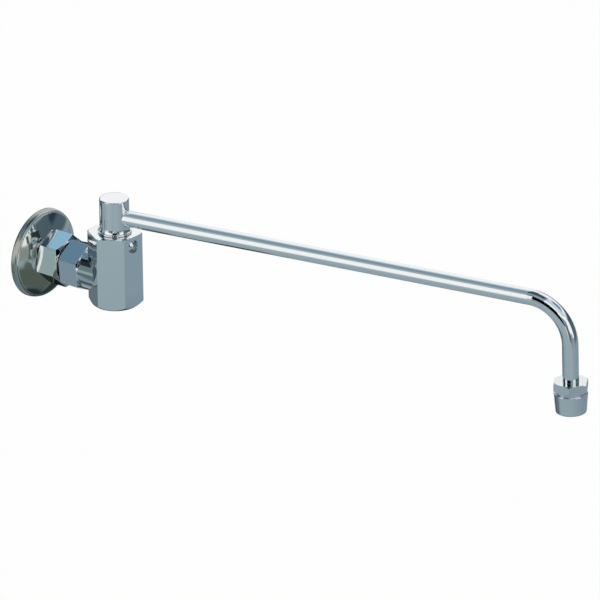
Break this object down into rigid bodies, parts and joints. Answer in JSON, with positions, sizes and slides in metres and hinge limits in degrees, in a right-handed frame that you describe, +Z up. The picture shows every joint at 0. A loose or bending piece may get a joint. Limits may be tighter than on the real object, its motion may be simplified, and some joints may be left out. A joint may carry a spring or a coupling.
{
  "type": "wall-mounted swing-spout faucet",
  "caption": "Wall-mounted kitchen faucet: a long swivelling spout with a bent end on a hexagonal valve body, on a single threaded inlet with a round wall flange.",
  "frame": {"origin": "on the inlet axis, in the plane of the wall", "axes": "+Y along the inlet axis into the wall, +Z up; the faucet stands out of the wall towards -Y, and at rest the spout is swung 12 degrees from -Y towards +X"},
  "size_m": [0.1306, 0.4964, 0.1041],
  "materials": {
    "polished_chrome": "mirror-polished chrome plate on brass",
    "flange_chrome": "polished chrome plate on spun brass",
    "outlet_chrome": "fine-turned chrome plate on brass",
    "bare_brass": "as turned, unplated",
    "stainless_steel": "bright, as drawn or punched",
    "black_rubber": "matt moulded nitrile",
    "white_plastic": "moulded acetal"
  },
  "bodies": {
    "root": {"wall_flange": "flange_chrome", "inlet_shank": "bare_brass", "coupling_nut": "polished_chrome", "union_washer": "black_rubber", "union_tailpiece": "polished_chrome", "inlet_adapter": "polished_chrome", "adapter_oring": "black_rubber", "seat_spring": "stainless_steel", "spring_washer": "bare_brass", "valve_seat": "black_rubber", "valve_body": "polished_chrome", "stop_screw": "polished_chrome", "thrust_washer": "white_plastic"},
    "spout": {"swing_stem": "polished_chrome", "upper_stem_oring": "black_rubber", "middle_stem_oring": "black_rubber", "lower_stem_oring": "black_rubber", "spout_tube": "polished_chrome", "outlet_collar": "outlet_chrome", "outlet_gasket": "black_rubber", "flow_disc": "white_plastic", "upper_screen": "stainless_steel", "screen_spacer": "stainless_steel", "lower_screen": "stainless_steel", "outlet_shell": "outlet_chrome"}
  },
  "joints": [
    {"name": "spout_swing", "type": "hinge", "parent": "root", "child": "spout", "pos_m": [0, -0.076, 0.037], "axis": [0, 0, 1], "range_deg": [-102, 78]}
  ]
}
